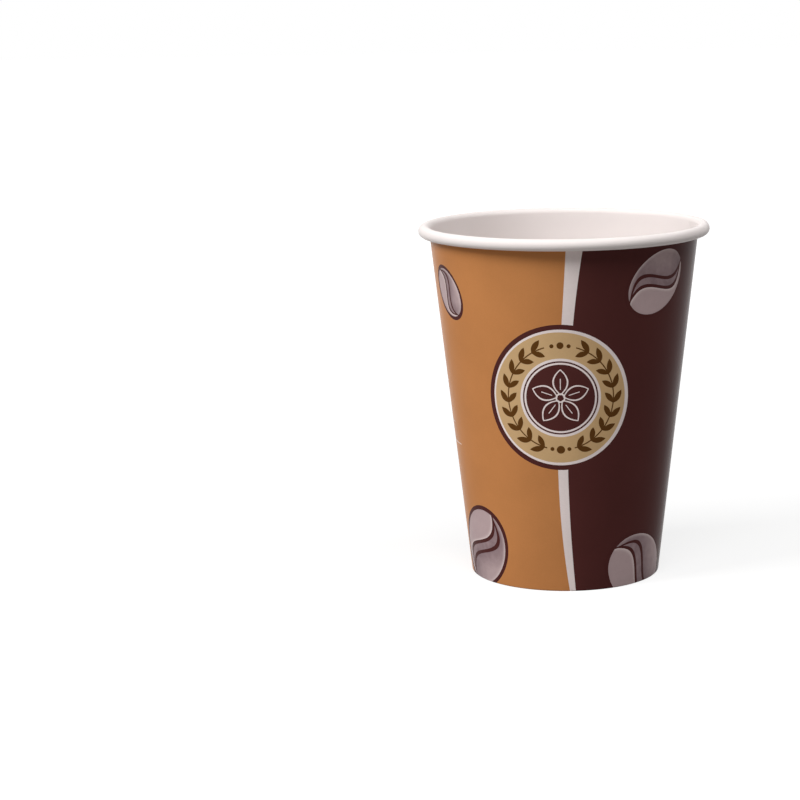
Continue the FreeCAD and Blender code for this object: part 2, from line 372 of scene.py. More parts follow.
class Wires:
    """Adds the nodes of one node tree and joins them."""

    def __init__(self, tree: bpy.types.NodeTree) -> None:
        """Keeps the tree that the nodes go into."""
        self.tree = tree

    def node(self, kind: str, **settings: object) -> bpy.types.Node:
        """Adds a node of a type, with some of its settings."""
        made = self.tree.nodes.new(kind)
        for name, value in settings.items():
            setattr(made, name, value)
        return made

    def join(self, source: object, target: bpy.types.NodeSocket) -> None:
        """Feeds a socket from another socket, or sets it to a plain value."""
        if isinstance(source, bpy.types.NodeSocket):
            self.tree.links.new(source, target)
        else:
            target.default_value = source

    def math(self, operation: str, *values: object, clamp: bool = False) -> bpy.types.NodeSocket:
        """The result of a Math node."""
        made = self.node("ShaderNodeMath", operation=operation, use_clamp=clamp)
        for value, socket in zip(values, made.inputs):
            self.join(value, socket)
        return made.outputs[0]

    def add(self, a: object, b: object) -> bpy.types.NodeSocket:
        """The sum of two values."""
        return self.math("ADD", a, b)

    def sub(self, a: object, b: object) -> bpy.types.NodeSocket:
        """The first value less the second."""
        return self.math("SUBTRACT", a, b)

    def mul(self, a: object, b: object) -> bpy.types.NodeSocket:
        """The product of two values."""
        return self.math("MULTIPLY", a, b)

    def under(self, a: object, b: object) -> bpy.types.NodeSocket:
        """1 where the first value is under the second, else 0."""
        return self.math("LESS_THAN", a, b)

    def past(self, a: object, b: object) -> bpy.types.NodeSocket:
        """1 where the first value has come up to the second, else 0."""
        return self.sub(1.0, self.under(a, b))

    def both(self, *masks: object) -> bpy.types.NodeSocket:
        """1 where every mask is 1."""
        result = masks[0]
        for mask in masks[1:]:
            result = self.mul(result, mask)
        return result

    def length(self, a: object, b: object) -> bpy.types.NodeSocket:
        """The length of the vector of two values."""
        return self.math("SQRT", self.add(self.mul(a, a), self.mul(b, b)))

    def blend(self, mask: object, below: object, above: object) -> bpy.types.NodeSocket:
        """One colour laid over another where the mask is 1."""
        made = self.node("ShaderNodeMix", data_type="RGBA", clamp_factor=True)
        self.join(mask, made.inputs["Factor"])
        for value, name in ((below, "A"), (above, "B")):
            socket = next(s for s in made.inputs if s.name == name and s.type == "RGBA")
            self.join((*value, 1.0) if isinstance(value, tuple) else value, socket)
        return next(s for s in made.outputs if s.type == "RGBA")

    def noise(
        self, place: object, scale: float, detail: float = 2.0, roughness: float = 0.5
    ) -> bpy.types.NodeSocket:
        """The value of a noise texture."""
        made = self.node("ShaderNodeTexNoise")
        self.join(place, made.inputs["Vector"])
        made.inputs["Scale"].default_value = scale
        made.inputs["Detail"].default_value = detail
        made.inputs["Roughness"].default_value = roughness
        return made.outputs["Fac"]

    def spread(self, value: object, low: float, high: float) -> bpy.types.NodeSocket:
        """Maps 0 to 1 onto another range."""
        return self.add(self.mul(value, high - low), low)

    def stretch(self, place: object, factors: tuple[float, float, float]) -> bpy.types.NodeSocket:
        """A place with each of its coordinates multiplied."""
        made = self.node("ShaderNodeVectorMath", operation="MULTIPLY")
        self.join(place, made.inputs[0])
        made.inputs[1].default_value = factors
        return made.outputs[0]


class Motif:
    """A node group that draws one printed motif from the place on the wall."""

    NAME = "Motif"
    SIZES: tuple[str, ...] = ()

    def __init__(self, sizes: CupSizes) -> None:
        """Makes the group and reads the place from its inputs.

        Args:
            sizes: the cup's sizes.
        """
        self.cup = sizes
        self.tree = bpy.data.node_groups.new(self.NAME, "ShaderNodeTree")
        for name in ("Turn", "Radius", "Height", *self.SIZES):
            self.tree.interface.new_socket(name, in_out="INPUT", socket_type="NodeSocketFloat")
        self.tree.interface.new_socket("Color", in_out="OUTPUT", socket_type="NodeSocketColor")
        self.tree.interface.new_socket("Mask", in_out="OUTPUT", socket_type="NodeSocketFloat")
        self.wires = Wires(self.tree)
        self.inputs = self.wires.node("NodeGroupInput").outputs
        color, mask = self.draw()
        out = self.wires.node("NodeGroupOutput")
        self.wires.join(color, out.inputs["Color"])
        self.wires.join(mask, out.inputs["Mask"])

    def local(self, turn: object, height: object) -> tuple[bpy.types.NodeSocket, bpy.types.NodeSocket]:
        """Millimetres to the right of a point on the wall and above it.

        Args:
            turn: the point's angle from the front in radians.
            height: the point's height in millimetres.

        Returns:
            The distance to the right and the distance up.
        """
        w = self.wires
        aside = w.math("WRAP", w.sub(self.inputs["Turn"], turn), math.pi, -math.pi)
        rise = w.mul(w.sub(self.inputs["Height"], height), 1.0 / math.cos(self.cup.slope))
        return w.mul(aside, self.inputs["Radius"]), rise

    def draw(self) -> tuple[object, object]:
        """Draws the motif.

        Returns:
            Its colour and its mask.
        """
        raise NotImplementedError

    def lay(
        self, wires: Wires, place: Sequence[object], below: object, **values: float
    ) -> bpy.types.NodeSocket:
        """Prints the motif over a colour.

        Args:
            wires: the nodes of the print.
            place: the turn, radius and height on the wall.
            below: the colour so far.
            **values: the motif's own sizes.

        Returns:
            The colour with the motif on it.
        """
        made = wires.node("ShaderNodeGroup", node_tree=self.tree)
        for name, value in zip(("Turn", "Radius", "Height"), place):
            wires.join(value, made.inputs[name])
        for name, value in values.items():
            made.inputs[name].default_value = value
        return wires.blend(made.outputs["Mask"], below, made.outputs["Color"])


@dataclass(frozen=True)
class Inks:
    """The colours of the print, as linear red, green and blue."""

    caramel: Color = (0.555, 0.230, 0.079)
    dark: Color = (0.082, 0.0235, 0.0215)
    plum: Color = (0.078, 0.0215, 0.0200)
    board: Color = (0.86, 0.755, 0.735)
    straw: Color = (0.615, 0.405, 0.207)
    olive: Color = (0.115, 0.046, 0.010)
    bean_glow: Color = (0.78, 0.65, 0.635)
    bean_light: Color = (0.515, 0.388, 0.392)
    bean_mid: Color = (0.465, 0.340, 0.346)
    bean_deep: Color = (0.260, 0.180, 0.192)
    tan: Color = (0.78, 0.58, 0.46)


INKS = Inks()


class BeanMotif(Motif):
    """A coffee bean: a light lobe and a shaded lobe, a cleft between two dark lines, and an outline."""

    NAME = "PrintedBean"
    SIZES = ("At", "Up", "Long", "Wide", "Tilt", "Pen")
    # From its middle to each end the cleft follows a sine for this many half turns, this far to the side.
    BENDS, SWAY = 1.06, 0.38
    # Half of the cleft's width in the middle, and how soon it closes towards the ends.
    GAPE, CLOSING = 0.20, 1.40
    # Half of a line's width at the ends and in the middle, and the outline's width, for a bean 1 mm wide.
    THIN, THICK, OUTLINE = 0.095, 0.245, 0.335

    def glow(self, distance: object, reach: float) -> bpy.types.NodeSocket:
        """1 at a line and falling to 0 some way beside it.

        Args:
            distance: the distance from the line in millimetres.
            reach: how far the light goes.

        Returns:
            The strength of the light.
        """
        fall = self.wires.math("SUBTRACT", 1.0, self.wires.mul(distance, 1.0 / reach), clamp=True)
        return self.wires.mul(fall, fall)

    def draw(self) -> tuple[object, object]:
        """Draws the bean in its own long and cross directions."""
        w, given = self.wires, self.inputs
        aside, rise = self.local(given["At"], given["Up"])
        cos, sin = w.math("COSINE", given["Tilt"]), w.math("SINE", given["Tilt"])
        along = w.math("DIVIDE", w.add(w.mul(aside, cos), w.mul(rise, sin)), given["Long"])
        cross = w.sub(w.mul(rise, cos), w.mul(aside, sin))
        wide = given["Wide"]
        reach = w.length(along, w.math("DIVIDE", cross, wide))
        inside = w.mul(w.sub(1.0, reach), wide)
        fullness = w.sub(1.0, w.mul(along, along))
        wave = w.mul(w.math("SINE", w.mul(along, -self.BENDS * math.pi)), w.mul(wide, self.SWAY))
        opening = w.math("SUBTRACT", 1.0, w.mul(w.mul(along, along), self.CLOSING), clamp=True)
        gape = w.mul(opening, w.mul(wide, self.GAPE))
        bright = w.sub(cross, w.add(wave, gape))
        shaded = w.sub(w.sub(wave, gape), cross)
        root = w.math("SQRT", wide)
        pen = w.mul(w.mul(root, given["Pen"]), w.spread(fullness, self.THIN, self.THICK))
        edge = w.mul(root, self.OUTLINE)
        place = w.node("ShaderNodeTexCoord").outputs["Object"]
        brush = w.sub(w.noise(place, 420.0, 3.0, 0.6), 0.5)

        lobe = w.blend(w.add(w.mul(brush, 0.9), 0.85), INKS.bean_mid, INKS.bean_light)
        rim_shade = w.mul(self.glow(w.sub(inside, edge), 1.3), 0.55)
        lobe = w.blend(rim_shade, lobe, INKS.bean_mid)
        lobe = w.blend(self.glow(w.sub(bright, pen), 1.5), lobe, INKS.bean_glow)

        depth = w.math("DIVIDE", shaded, w.mul(wide, 0.95))
        other = w.blend(w.add(w.mul(depth, 1.25), w.mul(brush, 0.7)), INKS.bean_deep, INKS.bean_light)
        rim_light = w.mul(w.mul(self.glow(w.sub(inside, edge), 1.25), fullness), 0.85)
        other = w.blend(rim_light, other, INKS.bean_glow)

        cleft = w.blend(w.add(w.mul(brush, 1.4), 0.22), INKS.bean_deep, INKS.bean_mid)
        color = w.blend(w.under(bright, 0.0), lobe, cleft)
        color = w.blend(w.past(shaded, 0.0), color, other)
        lines = w.math("MINIMUM", w.math("ABSOLUTE", bright), w.math("ABSOLUTE", shaded))
        color = w.blend(w.math("MAXIMUM", w.under(lines, pen), w.under(inside, edge)), color, INKS.plum)
        return color, w.under(reach, 1.0)


class BadgeMotif(Motif):
    """A round badge: rings of dark, white and straw, a wreath of leaves and a flower in the middle."""

    NAME = "PrintedBadge"
    SIZES = ("At", "Up")
    # Each ring's outer radius, how far it is set to the left, and its ink.
    RINGS = (
        (21.20, 0.0, INKS.board),
        (20.35, 0.3, INKS.straw),
        (12.25, 0.0, INKS.board),
        (11.45, 0.0, INKS.dark),
        (10.98, 0.0, INKS.board),
        (10.40, 0.0, INKS.dark),
    )
    EDGE = 22.7
    WREATH, LEAVES, STEM, GROWN = 16.25, 22, 0.20, 163.0
    LEAF_LEAN, LEAF_LONG, LEAF_HALF = 37.0, 4.5, 0.88
    # Each dot's angle from the foot of the wreath and its radius. All but the first and second are pairs.
    DOTS = ((0.0, 1.25), (180.0, 1.05), (171.0, 0.62), (9.0, 0.62))
    PETALS, PETAL_MIDDLE, PETAL_REACH, PETAL_HALF = 5, 4.9, 3.9, 2.15
    PETAL_ENDS, VEIN_ENDS = (0.9, 8.9), (2.6, 6.0)
    HEART, LINE, VEIN = 1.25, 0.24, 0.13

    def leaf(self, u: object, v: object, lean: float, long: float, wide: float) -> bpy.types.NodeSocket:
        """A pointed leaf that starts at the origin.

        Args:
            u: distance along the stem.
            v: distance to the side of the stem.
            lean: the leaf's angle from the stem in degrees.
            long: its length.
            wide: half of its width.

        Returns:
            Its mask.
        """
        w, turn = self.wires, math.radians(lean)
        p = w.sub(w.add(w.mul(u, math.cos(turn)), w.mul(v, math.sin(turn))), long / 2)
        q = w.sub(w.mul(v, math.cos(turn)), w.mul(u, math.sin(turn)))
        fall = w.mul(w.mul(p, p), 4.0 / long**2)
        return w.under(w.math("ABSOLUTE", q), w.mul(w.sub(1.0, fall), wide))

    def wreath(self, aside: object, rise: object, reach: object) -> list[bpy.types.NodeSocket]:
        """Two sprigs that grow from the knot at the foot up to both sides of the crown's dots.

        Args:
            aside: distance to the right of the badge's middle.
            rise: distance above it.
            reach: distance from it.

        Returns:
            The masks of the sprigs and of each kind of dot.
        """
        w, pitch = self.wires, 2 * math.pi / self.LEAVES
        around = w.math("ABSOLUTE", w.math("ARCTAN2", aside, w.mul(rise, -1.0)))
        side = w.math("ABSOLUTE", w.sub(reach, self.WREATH))
        step = w.sub(w.math("MODULO", around, pitch), pitch * 0.05)
        leaves = self.leaf(w.mul(step, self.WREATH), side, self.LEAF_LEAN, self.LEAF_LONG, self.LEAF_HALF)
        stem = w.under(side, self.STEM)
        grown = w.both(w.under(around, math.radians(self.GROWN)), w.past(around, pitch * 0.9))
        masks = [w.mul(w.math("MAXIMUM", leaves, stem), grown)]
        for bearing, radius in self.DOTS:
            along = w.mul(w.sub(around, math.radians(bearing)), self.WREATH)
            masks.append(w.under(w.length(along, side), radius))
        return masks

    def flower(self, aside: object, rise: object, reach: object) -> bpy.types.NodeSocket:
        """A flower in thin lines, all of its petals drawn at once by folding the bearing into one petal.

        Args:
            aside: distance to the right of the badge's middle.
            rise: distance above it.
            reach: distance from it.

        Returns:
            Its mask.
        """
        w, petal = self.wires, 2 * math.pi / self.PETALS
        (petal_start, petal_end), (vein_start, vein_end) = self.PETAL_ENDS, self.VEIN_ENDS
        folded = w.math("WRAP", w.math("ARCTAN2", aside, rise), petal / 2, -petal / 2)
        out, off = w.mul(w.math("COSINE", folded), reach), w.mul(w.math("SINE", folded), reach)
        off = w.math("ABSOLUTE", off)
        middle = w.mul(w.sub(out, self.PETAL_MIDDLE), 1 / self.PETAL_REACH)
        width = w.mul(w.sub(1.0, w.mul(middle, middle)), self.PETAL_HALF)
        edge = w.under(w.math("ABSOLUTE", w.sub(off, width)), self.LINE)
        drawn = w.both(edge, w.under(out, petal_end), w.past(out, petal_start))
        vein = w.both(w.under(off, self.VEIN), w.under(out, vein_end), w.past(out, vein_start))
        heart = w.under(w.math("ABSOLUTE", w.sub(reach, self.HEART)), self.LINE)
        return w.math("MAXIMUM", w.math("MAXIMUM", drawn, vein), heart)

    def draw(self) -> tuple[object, object]:
        """Draws the rings from the outside in, then the wreath and the flower."""
        w, given = self.wires, self.inputs
        aside, rise = self.local(given["At"], given["Up"])
        reach = w.length(aside, rise)
        color: object = INKS.dark
        for radius, left, ink in self.RINGS:
            color = w.blend(w.under(w.length(w.add(aside, left), rise), radius), color, ink)
        for mask in self.wreath(aside, rise, reach):
            color = w.blend(mask, color, INKS.olive)
        color = w.blend(self.flower(aside, rise, reach), color, INKS.board)
        return color, w.under(reach, self.EDGE)


class TickMotif(Motif):
    """A column of round marks, each with a ruled line beside it."""

    NAME = "PrintedTicks"
    SIZES = ("At", "Low", "Pitch")
    LINES = (25.5, 21.0, 18.5, 20.0, 15.5, 6.5, 12.0)
    MARK, HOLE = 2.1, 1.62
    LINE_START, LINE_DROP, LINE_HALF = 3.6, 0.95, 0.20

    def draw(self) -> tuple[object, object]:
        """Draws every row at once by folding the height into one row."""
        w, given = self.wires, self.inputs
        lean = w.mul(w.sub(given["Height"], given["Low"]), math.radians(0.03))
        aside, _ = self.local(w.add(given["At"], lean), 0.0)
        rows = w.add(w.math("DIVIDE", w.sub(given["Height"], given["Low"]), given["Pitch"]), 0.5)
        row = w.math("FLOOR", rows)
        rise = w.mul(w.sub(w.sub(rows, row), 0.5), given["Pitch"])
        reach = w.length(aside, rise)
        counted = w.both(w.past(row, -0.5), w.under(row, len(self.LINES) - 0.5))
        ends: object = 0.0
        for number, line in enumerate(self.LINES):
            here = w.under(w.math("ABSOLUTE", w.sub(row, float(number))), 0.5)
            ends = w.add(ends, w.mul(here, line + self.LINE_START))
        ruled = w.both(
            w.under(w.math("ABSOLUTE", w.add(rise, self.LINE_DROP)), self.LINE_HALF),
            w.under(aside, ends),
            w.past(aside, self.LINE_START),
        )
        mark = w.under(reach, self.MARK)
        color = w.blend(mark, INKS.tan, INKS.plum)
        color = w.blend(w.under(reach, self.HOLE), color, INKS.board)
        return color, w.mul(w.math("MAXIMUM", mark, w.mul(ruled, 0.85)), counted)


@dataclass(frozen=True)
class Bean:
    """Where a printed bean lies: degrees from the front, height and half sizes in mm, tilt in degrees.

    Its pen tells how thick the lines of its cleft are drawn.
    """

    at: float
    up: float
    long: float
    wide: float
    tilt: float
    pen: float = 0.8

    def values(self) -> dict[str, float]:
        """The bean's sizes, as the motif's inputs are called, with its angles in radians."""
        at, tilt = math.radians(self.at), math.radians(self.tilt)
        return {"At": at, "Up": self.up, "Long": self.long, "Wide": self.wide, "Tilt": tilt, "Pen": self.pen}


class Print:
    """The whole print of the wall, from the place on it."""

    BEANS = (
        Bean(-61.8, 91.2, 9.3, 6.7, 130.0, 0.7),
        Bean(-56.5, 11.0, 14.3, 11.3, 62.0, 0.92),
        Bean(-135.2, 105.6, 13.0, 9.4, 73.0),
        Bean(-142.0, 21.5, 9.9, 8.0, 14.0),
        Bean(44.6, 95.3, 13.2, 9.9, 211.0, 0.85),
        Bean(49.2, 4.9, 14.6, 11.6, 145.0),
        Bean(113.0, 47.0, 10.2, 7.8, 122.0),
        Bean(131.0, 88.0, 11.4, 8.6, 38.0),
        Bean(126.0, 10.0, 12.8, 9.8, 66.0),
    )
    BADGES = ((-1.75, 61.6), (176.1, 61.2))
    BAND_LEFT = (-24.17, 56.71, -34.32, 2.88)
    BAND_RIGHT = (-2.14, 26.06, -21.78, 6.35)
    # How far round to the left the middle of the back lies, and how far its print reaches, in degrees.
    BACK, BACK_REACH = 181.7, 60.0

    def __init__(self, wires: Wires, sizes: CupSizes) -> None:
        """Reads the place on the wall.

        Args:
            wires: the nodes of the material.
            sizes: the cup's sizes.
        """
        self.wires, self.cup = wires, sizes
        self.object_place = wires.node("ShaderNodeTexCoord").outputs["Object"]
        split = wires.node("ShaderNodeSeparateXYZ")
        wires.join(self.object_place, split.inputs[0])
        x, y, z = split.outputs
        turn = wires.math("ARCTAN2", x, wires.mul(y, -1.0))
        radius = wires.mul(wires.length(x, y), 1 / MM)
        self.place = (turn, radius, wires.mul(z, 1 / MM))

    def cubic(self, factors: Sequence[float]) -> bpy.types.NodeSocket:
        """An angle in radians as a cubic of the height, from factors in degrees, 1 being the cup's height."""
        w = self.wires
        part = w.mul(self.place[2], 1 / self.cup.height)
        value: object = factors[0]
        for factor in factors[1:]:
            value = w.add(w.mul(value, part), factor)
        return w.mul(value, math.radians(1.0))

    def grounds(self) -> bpy.types.NodeSocket:
        """The two grounds with a white band wherever they meet."""
        w, turn = self.wires, self.place[0]
        other = w.math("WRAP", w.add(turn, math.radians(self.BACK)), math.pi, -math.pi)
        left, right = self.cubic(self.BAND_LEFT), self.cubic(self.BAND_RIGHT)
        front_dark = w.past(turn, right)
        front_band = w.both(w.past(turn, left), w.under(turn, right))
        mirrored_left, mirrored_right = w.mul(right, -1.0), w.mul(left, -1.0)
        near_back = w.under(w.math("ABSOLUTE", other), math.radians(self.BACK_REACH))
        before_left, before_right = w.under(other, mirrored_left), w.under(other, mirrored_right)
        back_caramel = w.both(near_back, w.sub(1.0, before_right))
        back_dark = w.both(near_back, before_left)
        back_band = w.both(near_back, w.sub(1.0, before_left), before_right)
        dark = w.math("MAXIMUM", w.mul(front_dark, w.sub(1.0, back_caramel)), back_dark)
        color = w.blend(dark, INKS.caramel, INKS.dark)
        return w.blend(w.math("MAXIMUM", front_band, back_band), color, INKS.board)

    def color(self) -> bpy.types.NodeSocket:
        """The printed colour: grounds, ticks, beans and badges, with the unevenness of ink on board."""
        w = self.wires
        color = self.grounds()
        ticks = TickMotif(self.cup)
        color = ticks.lay(w, self.place, color, At=math.radians(-117.3), Low=43.5, Pitch=6.38)
        bean = BeanMotif(self.cup)
        for b in self.BEANS:
            color = bean.lay(w, self.place, color, **b.values())
        badge = BadgeMotif(self.cup)
        for at, up in self.BADGES:
            color = badge.lay(w, self.place, color, At=math.radians(at), Up=up)
        cloud = w.noise(self.object_place, 60.0, 4.0, 0.6)
        speck = w.noise(self.object_place, 2400.0, 1.0)
        uneven = w.add(w.spread(cloud, -0.11, 0.11), w.spread(speck, -0.04, 0.04))
        shade = w.node("ShaderNodeHueSaturation")
        w.join(color, shade.inputs["Color"])
        w.join(w.add(uneven, 1.0), shade.inputs["Value"])
        return shade.outputs["Color"]


@dataclass(frozen=True)
class Board:
    """A finish of the board.

    Attributes:
        name: the material's name.
        color: its plain colour, where it isn't printed.
        roughness: the least and the greatest roughness.
        gloss: the strength of its reflections, 0.5 for a plain dielectric.
        grain: how deep the fibres stand, in millimetres.
        printed: whether the print is on it.
    """

    name: str
    color: Color
    roughness: tuple[float, float]
    gloss: float
    grain: float
    printed: bool = False

    def material(self, sizes: CupSizes) -> bpy.types.Material:
        """Makes the finish.

        Args:
            sizes: the cup's sizes, which the print is laid out on.

        Returns:
            The material.
        """
        made = bpy.data.materials.new(self.name)
        made.use_nodes = True
        w = Wires(made.node_tree)
        shader = made.node_tree.nodes["Principled BSDF"]
        shader.inputs["Specular IOR Level"].default_value = self.gloss
        place = w.node("ShaderNodeTexCoord").outputs["Object"]
        if self.printed:
            w.join(Print(w, sizes).color(), shader.inputs["Base Color"])
        else:
            cloud = w.noise(place, 70.0, 3.0)
            tint = tuple(c * 0.955 for c in self.color)
            w.join(w.blend(cloud, self.color, tint), shader.inputs["Base Color"])
        fibres = w.noise(w.stretch(place, (1.0, 1.0, 0.55)), 1500.0, 4.0, 0.62)
        swell = w.noise(place, 240.0, 2.0)
        unevenness = w.add(w.mul(fibres, 0.6), w.mul(swell, 0.4))
        w.join(w.spread(unevenness, *self.roughness), shader.inputs["Roughness"])
        bump = w.node("ShaderNodeBump")
        w.join(w.add(w.mul(fibres, 0.6), w.mul(swell, 0.9)), bump.inputs["Height"])
        bump.inputs["Distance"].default_value = self.grain * MM
        bump.inputs["Strength"].default_value = 1.0
        w.join(bump.outputs["Normal"], shader.inputs["Normal"])
        return made


PRINTED = Board("PrintedBoard", INKS.board, (0.20, 0.30), 0.02, 0.006, printed=True)
COATED = Board("CoatedBoard", (0.84, 0.775, 0.755), (0.36, 0.52), 0.08, 0.007)
CUT = Board("CutEdge", (0.66, 0.57, 0.48), (0.80, 0.95), 0.20, 0.020)


@dataclass
class SideWall:
    """The wound wall with its rolled rim, its lapped seam and its hem."""

    sizes: CupSizes
    sliver: float = 0.1
    lump: float = 0.10
    lap_margin: float = 0.05

    def between(self, start: float, end: float, steps: int) -> list[float]:
        """Evenly spaced heights from one to another, both kept a little off the ends of the lap."""
        inset = math.copysign(self.lap_margin, end - start)
        return [start + inset + (end - start - 2 * inset) * i / steps for i in range(steps + 1)]

    def outline(self) -> Outline:
        """The wall's section, from the standing ring up the outside, round the roll and down the inside."""
        s, line = self.sizes, Outline()
        level, slot = s.board + s.fold_radius, s.disc_board + 2 * s.seal_gap
        step = (s.board + s.curl_gap) / 2
        lean = math.degrees(s.slope)
        fold, hem_fold = s.at(level, -s.fold_radius), s.at(level, s.fold_radius - slot)
        second = s.curl + s.out * step
        tail = 180 - s.curl_tail
        low, high = level, s.seam_top

        line.run(s.arc(fold, level, lean - 90, 0, 6), Face.PRINT, 1.0)
        heights = [low, *self.between(low, high, 16), high]
        line.run([s.at(h, s.board) for h in heights], Face.PRINT, 1.0)
        line.run(s.arc(s.curl, s.roll - s.board, 180, 0, 14), Face.PRINT, 0.15)
        line.run(s.arc(second, s.roll - step - s.board, 360, 180, 14), Face.PRINT, 0.1)
        line.run(s.arc(s.curl, s.roll - 2 * step - s.board, 180, tail, 6), Face.PRINT, 0.1)
        line.run(s.arc(s.curl, s.roll - 2 * step, tail, 180, 8), Face.CUT, 0.1)
        line.run(s.arc(second, s.roll - step, 180, 360, 18), Face.COATED, 0.9)
        line.run(s.arc(s.curl, s.roll, 0, 180, 22), Face.COATED, 1.0)
        opening = s.disc_height + s.disc_board + s.seam_lift
        heights = [high, *self.between(high, opening, 12), opening]
        line.run([s.at(h, 0) for h in heights], Face.COATED, 0.36)
        line.run(s.arc(fold, s.fold_radius, 0, lean - 90, 2), Face.COATED, 0.2)
        line.run(s.arc(hem_fold, s.fold_radius, 270 + lean, 180, 2), Face.COATED, 0.2)
        hem_top = s.at(s.hem_height, -slot - s.board)
        line.run([hem_top + s.out * s.board], Face.COATED, 0.2)
        line.run([hem_top], Face.CUT, 0.5)
        line.run(s.arc(hem_fold, level, 180, 270 + lean, 6), Face.COATED, 0.4)
        line.close(Face.PRINT, 0.8)
        return line

    def runs(self) -> list[tuple[float, int]]:
        """The spin's runs, with a column on each side of both edges of the seam."""
        s, sliver = self.sizes, self.sliver
        end = s.seam_ramp + s.seam_lap
        ramp = s.seam_ramp - sliver / 2
        return [
            (360 - end - sliver / 2, 172),
            (ramp, 2),
            (sliver, 1),
            (s.seam_lap - sliver, 5),
            (sliver, 1),
        ]

    def lap_seam(self, piece: bpy.types.Object) -> None:
        """Steps the outer ply out over the inner ply, and opens the inner ply's edge on the inside.

        Args:
            piece: the spun wall.
        """
        s, half = self.sizes, self.sliver / 2
        near, tight, loose = 0.02, 0.04, 0.1
        low, high = s.board + s.fold_radius + near, s.seam_top - near
        opening = s.disc_height + s.disc_board + s.seam_lift + near
        ramp, end = s.seam_ramp, s.seam_ramp + s.seam_lap
        middle = (ramp - half) / 2

        def on_face(place: Vector, offset: float, bottom: float, angles: tuple[float, float]) -> bool:
            """Tells whether a vertex lies on one face of the wall between two angles."""
            if not bottom < place.z / MM < high or abs(s.offset(place) - offset) > near:
                return False
            return angles[0] < turn_of(place) < angles[1]

        moves = (
            (s.board, low, (middle - loose, middle + loose), 0.5),
            (s.board, low, (ramp - half - tight, end - half + tight), 1.0),
            (0.0, opening, (middle - loose, middle + loose), -0.5),
            (0.0, opening, (ramp - half - tight, ramp - half + tight), -1.0),
        )
        for offset, bottom, angles, part in moves:
            edit_where(piece, lambda place: on_face(place, offset, bottom, angles))
            bpy.ops.transform.shrink_fatten(value=s.board * part * MM)
        bpy.ops.object.mode_set(mode="OBJECT")

    def swell_rim(self, piece: bpy.types.Object) -> None:
        """Thickens the rolled rim a little over the seam."""
        s = self.sizes

        def on_roll(place: Vector) -> bool:
            """Tells whether a vertex lies on the outside of the roll, over the lap."""
            point = Vector((math.hypot(place.x, place.y), place.z)) / MM - s.curl
            over_lap = s.seam_ramp < turn_of(place) < s.seam_ramp + s.seam_lap
            on_outside = point.length > s.roll - 0.25 and point.y > -s.roll - 0.1
            return over_lap and on_outside

        edit_where(piece, on_roll)
        bpy.ops.transform.shrink_fatten(value=self.lump * MM)
        bpy.ops.object.mode_set(mode="OBJECT")

    def build(self, materials: dict[Face, bpy.types.Material]) -> bpy.types.Object:
        """Spins the wall, dresses it and laps its seam.

        Args:
            materials: the material of each kind of face.

        Returns:
            The piece.
        """
        line = self.outline()
        start = self.sizes.seam_ramp + self.sizes.seam_lap + self.sliver / 2
        spun = Spun("side_wall_printed", line.corners(), start, self.runs())
        piece = spun.build()
        Skin(spun, line.faces, line.shares).dress(piece, materials)
        self.lap_seam(piece)
        self.swell_rim(piece)
        bpy.ops.object.shade_smooth_by_angle(angle=SMOOTH_UP_TO)
        return piece


@dataclass
class BottomDisc:
    """The disc with its turned-down skirt."""

    sizes: CupSizes
    rings: tuple[float, ...] = (5.0, 10.0, 15.0, 20.0, 25.0)

    @property
    def low(self) -> float:
        """The height of the skirt's cut edge."""
        return self.sizes.board + self.sizes.fold_radius + self.sizes.skirt_lift

    def section(self) -> list[tuple[float, float]]:
        """The disc's section, from the middle of its top, down the skirt and back under it."""
        s, lean = self.sizes, math.degrees(self.sizes.slope)
        turn = s.at(s.disc_height - s.disc_bend, -s.seal_gap - s.disc_board - s.disc_bend)
        outer_low = s.at(self.low, -s.seal_gap)
        points = [
            *(Vector((r, s.disc_height + s.disc_board)) for r in (0.0, *self.rings)),
            *s.arc(turn, s.disc_bend + s.disc_board, 90 + lean, 0, 6),
            outer_low,
            outer_low - s.out * s.disc_board,
            *s.arc(turn, s.disc_bend, 0, 90 + lean, 4),
            *(Vector((r, s.disc_height)) for r in (*reversed(self.rings), 0.0)),
        ]
        return [(point.x, point.y) for point in points]

    def build(self, materials: dict[Face, bpy.types.Material]) -> bpy.types.Object:
        """Spins the disc and dresses it.

        Args:
            materials: the material of each kind of face.

        Returns:
            The piece.
        """
        piece = Spun("bottom_disc_board", self.section(), 0.0, ((360.0, 144),), closed=False).build()
        for kind in (Face.COATED, Face.CUT):
            piece.data.materials.append(materials[kind])
        for polygon in piece.data.polygons:
            lowest = polygon.center.z / MM < self.low + 0.2 and polygon.normal.z < -0.9
            polygon.material_index = int(lowest)
        bpy.ops.object.shade_smooth_by_angle(angle=SMOOTH_UP_TO)
        return piece


@dataclass(frozen=True)
class Lamp:
    """A square soft light.

    Attributes:
        name: its name.
        place: where it hangs, in metres.
        size: the length of its side in metres.
        watts: its power.
        aim: the point that it faces.
    """

    name: str
    place: tuple[float, float, float]
    size: float
    watts: float
    aim: tuple[float, float, float] = (0.0, 0.0, 0.055)

    def hang(self) -> None:
        """Adds the light to the scene."""
        select_none()
        bpy.ops.object.light_add(type="AREA", location=self.place)
        light = bpy.context.object
        light.name = self.name
        light.data.size = self.size
        light.data.energy = self.watts
        way = Vector(self.aim) - Vector(self.place)
        light.rotation_euler = way.to_track_quat("-Z", "Y").to_euler()


